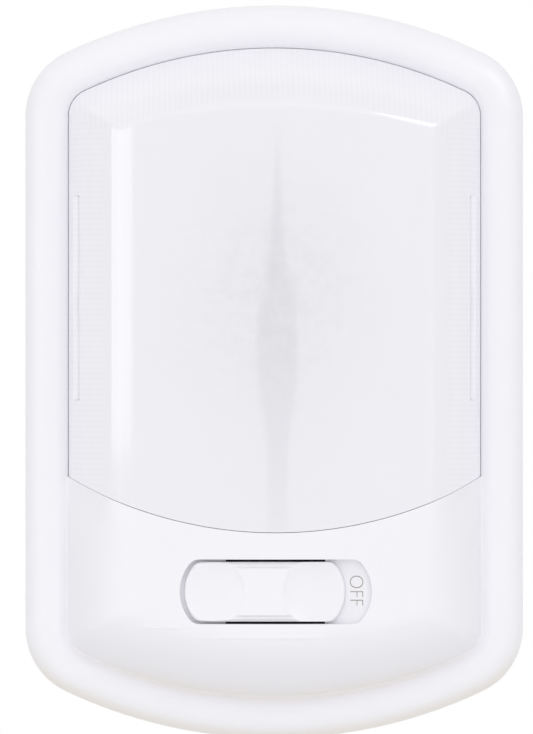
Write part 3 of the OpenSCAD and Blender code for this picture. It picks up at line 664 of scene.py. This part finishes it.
rib_pitch, rib_contrast = 1.35 * mm, 0.012
rib_turns = 2 * math.pi / rib_pitch
side_reach, end_of_ribs, corner_lead = 20.2 * mm, 24.5 * mm, 3 * mm
from_side = on_lens("SUBTRACT", half_width * mm, on_lens("ABSOLUTE", lens_x))
along = on_lens("SUBTRACT", lens_y, end_middle * mm)
from_end = on_lens("SUBTRACT", end_radius * mm, on_lens("SQRT", on_lens(
    "ADD", on_lens("MULTIPLY", lens_x, lens_x), on_lens("MULTIPLY", along, along))))
on_side = on_lens("LESS_THAN", from_side, side_reach)
on_end = on_lens("LESS_THAN", from_end, end_of_ribs)
end_first = on_lens("LESS_THAN", from_end, on_lens("ADD", from_side, corner_lead))
side_ribs = on_lens("MULTIPLY", on_lens("MULTIPLY", on_side, on_lens("SUBTRACT", 1, end_first)),
                    on_lens("SINE", on_lens("MULTIPLY", lens_y, rib_turns)))
end_ribs = on_lens("MULTIPLY", on_lens("MULTIPLY", on_end, end_first),
                   on_lens("SINE", on_lens("MULTIPLY", lens_x, rib_turns)))
# painted light: the flanks are painted a little lighter and the crown a little darker, for the gloss that the steep
# flanks catch
painted_flank_light = ranged(lens_tree, on_lens("MINIMUM", from_side, from_end), (17 * mm, 24 * mm), (1.04, 0.985), soft=True)
rib_tone_and_painted_light = on_lens("MULTIPLY_ADD", on_lens("ADD", side_ribs, end_ribs), rib_contrast, painted_flank_light)

# painted shade: round its middle the lens is painted darker in soft spots, where the bulb and reflector behind it would
# shade it
shade_middle, shade_across, shade_along = 19.8 * mm, 31 * mm, 36 * mm
middle = lens_tree.nodes.new("ShaderNodeMapping")
middle.inputs["Location"].default_value = (0, -shade_middle / shade_along, 0)
middle.inputs["Scale"].default_value = (1 / shade_across, 1 / shade_along, 0)
lens_tree.links.new(lens_place, middle.inputs["Vector"])
away = lens_tree.nodes.new("ShaderNodeVectorMath")
away.operation = "LENGTH"
lens_tree.links.new(middle.outputs["Vector"], away.inputs[0])
shade = ranged(lens_tree, away.outputs["Value"], (0.1, 1.15), (1, 0), soft=True)
spotted = ranged(lens_tree, noise(lens_tree, lens_place, 360, 3), (0.36, 0.68), (0.03, 0.068))
mottled_painted_shade = on_lens("SUBTRACT", 1, on_lens("MULTIPLY", shade, spotted))
tint_over(lens_plastic, 1, on_lens("MULTIPLY", rib_tone_and_painted_light, mottled_painted_shade), "MULTIPLY")
lens_cover.data.materials.append(lens_plastic)
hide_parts("lens")
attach(lens_cover, "lens_cover")


# The slider is a white moulding with a finger dish at each end and a waisted saddle between them. Legs under it
# hook behind the slot's long walls, and a pocket takes the switch's stem; only its top is drawn here, closed by a flat
# underside.
slider_length, slider_width, slider_middle = 40.4, 15.0, 2.75
slider_sink, slider_underside = 0.3, 33.8
bowl_radius, bowl_pitch, bowl_low, bowl_softness = 24, 30.8, 2.9, 0.12
pad_half, pad_step, pad_length, pad_fade = 5.85, 0.5, 5.6, 3
bead_height, bead_spread, bead_reach = 0.2, 0.16, 6.2
edge_from, edge_over, end_from, end_over = 6.6, 0.9, 10.2, 0.8


def slider_edge(x):
    """Half the slider's width at x."""
    end_x, corner_x, corner_y = bow_middles(slider_length, slider_width)
    x = abs(x)
    if x <= corner_x:
        return slider_width / 2
    if x <= corner_x + corner_bow * (corner_x - end_x) / (end_bow - corner_bow):
        return corner_y + math.sqrt(max(corner_bow ** 2 - (x - corner_x) ** 2, 0))
    return math.sqrt(max(end_bow ** 2 - (x - end_x) ** 2, 0))


def slider_height(x, y):
    across = x + slider_middle
    top = crown_height - slider_sink - crown_radius + math.sqrt(crown_radius ** 2 - across * across)
    v = y - slot_middle
    bowl = bowl_radius ** 2 - (abs(x) - bowl_pitch / 2) ** 2 - v * v
    dish = crown_height - bowl_low + bowl_radius - math.sqrt(max(bowl, 0))
    # the saddle's pad stands over the long edges, has a fine bead round it, and dies out beside the dishes
    step = gently((abs(v) - pad_half) / pad_step)
    beside = min(max((abs(x) - pad_length) / pad_fade, 0), 1)
    bead = bead_height * math.exp(-((top - dish) / bead_spread) ** 2) * max(1 - (abs(v) / bead_reach) ** 6, 0)
    # the long edges and the bowed ends are rounded over
    edge_drop = 0.5 * step * (1 - beside) + 0.5 * max((abs(v) - edge_from) / edge_over, 0) ** 2
    from_end_middle = math.hypot(max(abs(x) - (slider_length / 2 - end_bow), 0), v)
    end_drop = 0.5 * max((from_end_middle - end_from) / end_over, 0) ** 2
    return blend_low(top - edge_drop, dish, bowl_softness) - end_drop + bead - 0.1


slider = sheet("slider_key", slider_length / 2, lambda x: slot_middle - slider_edge(x),
               lambda x: slot_middle + slider_edge(x), 280, 90, lambda t: 0.5 - 0.5 * math.cos(math.pi * t),
               slider_height)
for v in fold_edge(slider):
    v.co.z = -slider_underside * mm
bpy.ops.object.mode_set(mode="EDIT")
bpy.ops.mesh.fill()
bpy.ops.object.mode_set(mode="OBJECT")
for v in slider.data.vertices:
    v.co.x += slider_middle * mm
smooth(slider)
slider.data.materials.append(white_plastic)
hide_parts("slider")
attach(slider, "switch_slide_set")

# The words on the slot's floor: plain thin printed letters. The slider bares the word at the right at rest, and the
# one at the left when it is pushed over.
word_ink = moulded("word_ink", (0.3, 0.26, 0.23), 0.5, 1400, 0.008)
slot_floor, word_across, word_middle = 33.6, 20.2, slot_middle + 0.25
letter_size, letter_raise, letter_thinning, stretch = 4.6, 0.02, 0.12, 1.13
for letters, across in (("OFF", -word_across), ("ON", word_across)):
    bpy.ops.object.select_all(action="DESELECT")
    bpy.ops.object.text_add(location=(0, 0, 0))
    word = bpy.context.object
    word.data.body = letters
    word.data.align_x, word.data.align_y = "CENTER", "CENTER"
    word.data.size = letter_size * mm
    word.data.extrude = letter_raise * mm
    word.data.offset = -letter_thinning * mm
    bpy.ops.object.convert(target="MESH")
    word = bpy.context.object
    word.name = "word_" + letters.lower()
    for v in word.data.vertices:
        x, y = v.co.x, v.co.y
        v.co = (across * mm - stretch * y, word_middle * mm - x, -slot_floor * mm - v.co.z)
    face_outwards()
    word.data.materials.append(word_ink)
    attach(word, "fixture")


# The slide switch behind the panel: a case folded from zinc plated sheet, hung on two nickel plated screws, with a
# black fibre sheet against light and dust between it and the housing.
sheet_marks, came_in, goes_out = marks_group("sheet_marks", ("Drawn", "NodeSocketVector"), ("Stain", "NodeSocketFloat"))
along_grain = sheet_marks.nodes.new("ShaderNodeVectorMath")
along_grain.operation = "MULTIPLY"
sheet_marks.links.new(came_in["Place"], along_grain.inputs[0])
sheet_marks.links.new(came_in["Drawn"], along_grain.inputs[1])
lines = noise(sheet_marks, along_grain.outputs["Vector"], 1, 3)
stains = noise(sheet_marks, came_in["Place"], came_in["Stain"], 4)
for mark, value in (("Tone", stains), ("Gloss", reckon(sheet_marks, "MULTIPLY_ADD", lines, 0.4, stains)),
                    ("Height", lines)):
    sheet_marks.links.new(value, goes_out[mark])


def metal(name, bright, dull, roughness, drawn, stain=220, depth=0.006, tinned=None):
    """Bare or plated metal, with fine lines along the way that it was drawn and a slow dulling in patches."""
    stuff, tree, skin = new_finish(name)
    skin.inputs["Metallic"].default_value = 1
    marks = placed_marks(tree, sheet_marks, Drawn=drawn, Stain=stain)
    worn = ranged(tree, marks["Tone"], (0.42, 0.68), (0, 1))
    tree.links.new(mixed(tree, worn, (*bright, 1), (*dull, 1)), skin.inputs["Base Color"])
    if tinned:
        way, bare, dipped = tinned
        height = tree.nodes.new("ShaderNodeSeparateXYZ")
        tree.links.new(tree.nodes["Texture Coordinate"].outputs["Object"], height.inputs["Vector"])
        solder = ranged(tree, height.outputs[way], (bare * mm, dipped * mm), (0, 1))
        tint_over(stuff, solder, (0.62, 0.62, 0.64, 1))
    gloss = ranged(tree, marks["Gloss"], (0.4, 1), (roughness * 0.7, roughness * 1.5))
    tree.links.new(gloss, skin.inputs["Roughness"])
    dented(tree, skin, marks["Height"], depth * mm)
    return stuff


def dress(node, stuff):
    for spot in frame["nodes"][node].material_slots:
        spot.material = stuff


zinc_plate = metal("zinc_plate", (0.66, 0.67, 0.69), (0.5, 0.515, 0.535), 0.32, (250, 2400, 2400))
dress("switch_frame", zinc_plate)
dress("switch_screws", metal("nickel_screws", (0.74, 0.73, 0.7), (0.6, 0.59, 0.56), 0.2, (1500, 1500, 400), 500, 0.003))
dress("dust_shield", moulded("black_fibre", (0.03, 0.03, 0.034), 0.8, 1600, 0.04))

# Inside the switch: a black moulded carriage with a sprung copper strip and two steel balls slides over a brown
# laminate board. Three brass lugs are riveted through the board, and their tips are tinned.
dress("contact_carriage", moulded("black_moulding", (0.035, 0.035, 0.04), 0.42, 1100, 0.02))
dress("bridge_contact", metal("copper_strip", (0.83, 0.5, 0.32), (0.56, 0.3, 0.18), 0.24, (300, 2600, 2600)))
dress("detent_balls", metal("bright_balls", (0.8, 0.8, 0.81), (0.72, 0.72, 0.74), 0.07, (900, 900, 900), 400, 0.001))
dress("switch_lugs", metal("brass_lugs", (0.8, 0.62, 0.3), (0.62, 0.45, 0.2), 0.25, (2200, 2200, 300),
                           tinned=("Z", -16.4, -14.6)))
dress("switch_base", moulded("brown_laminate", (0.2, 0.085, 0.035), 0.4, 1300, 0.03))

# The reflector is a bright rolled sheet, bent up along both sides and riveted to the floor with drawn aluminium
# rivets. A plated bracket, riveted on the same way, carries the lamp socket.
dress("reflector", metal("bright_sheet", (0.86, 0.87, 0.88), (0.78, 0.79, 0.8), 0.16, (2600, 90, 2600), 90, 0.004))
dress("reflector_rivets", metal("drawn_rivets", (0.68, 0.68, 0.69), (0.52, 0.52, 0.54), 0.34, (1800, 1800, 500), 600))
dress("socket_bracket", zinc_plate)

# The socket is a heat proof cream moulding with two brass contacts, and a short black lead runs from one of them to
# the switch. The bulb is blown clear glass, pinched to a flat wedge, with its wires bent up along the wedge.
dress("socket_body", moulded("cream_moulding", (0.82, 0.78, 0.68), 0.5, 700, 0.03))
dress("socket_contacts", metal("brass_contacts", (0.8, 0.62, 0.3), (0.62, 0.45, 0.2), 0.25, (2200, 300, 2200),
                               tinned=("Y", -20.5, -22.0)))
dress("switched_lead", moulded("black_sleeve", (0.022, 0.022, 0.025), 0.45, 900, 0.03))
dress("bulb_wires", metal("nickel_wire", (0.7, 0.69, 0.66), (0.52, 0.51, 0.48), 0.28, (1800, 200, 1800), 500, 0.002))
clear_glass, glass_tree, glass_skin = new_finish("clear_glass")
glass_skin.inputs["Base Color"].default_value = (0.97, 0.985, 0.99, 1)
glass_skin.inputs["Transmission Weight"].default_value = 1
glass_skin.inputs["IOR"].default_value = 1.5
blown = noise(glass_tree, glass_tree.nodes.new("ShaderNodeTexCoord").outputs["Object"], 90)
glass_tree.links.new(ranged(glass_tree, blown, (0, 1), (0.005, 0.05)), glass_skin.inputs["Roughness"])
dented(glass_tree, glass_skin, blown, 0.05 * mm)
dress("bulb_glass", clear_glass)

# The filament is a coil of fine tungsten wire, 22 turns wound on one line and strung between the ends of the bulb's
# two wires. It fills the frame's own box for it, and goes out of the socket with the bulb.
low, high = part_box("bulb_filament")
coil_turns, coil_wire = 22, 0.09 * mm
coil_radius = (high[2] - low[2]) / 2 - coil_wire
coil_length = high[0] - low[0] - 2 * coil_wire
bpy.ops.object.select_all(action="DESELECT")
bpy.ops.mesh.primitive_circle_add(vertices=6, radius=coil_wire, fill_type="NOTHING")
filament = bpy.context.object
filament.name = "filament_coil"
for v in filament.data.vertices:
    v.co = (v.co.x, v.co.y + coil_radius, 0)
wind = filament.modifiers.new("wind", "SCREW")
wind.axis = "X"
wind.angle = 2 * math.pi * coil_turns
wind.screw_offset = coil_length
wind.steps = wind.render_steps = 12 * coil_turns
wind.use_smooth_shade = True
bpy.ops.object.modifier_apply(modifier="wind")
bpy.ops.object.mode_set(mode="EDIT")
bpy.ops.mesh.select_all(action="SELECT")
bpy.ops.mesh.select_non_manifold()
bpy.ops.mesh.edge_face_add()
bpy.ops.object.mode_set(mode="OBJECT")
face_outwards()
for v in filament.data.vertices:
    v.co += Vector((low[0] + coil_wire, (low[1] + high[1]) / 2, (low[2] + high[2]) / 2))
filament.data.materials.append(metal("tungsten_coil", (0.42, 0.41, 0.4), (0.3, 0.3, 0.3), 0.35, (1500, 1500, 1500)))
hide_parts("bulb_filament")
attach(filament, "bulb")

# The finished light. Nothing stays selected.
for piece in bpy.context.scene.objects:
    piece.select_set(False)
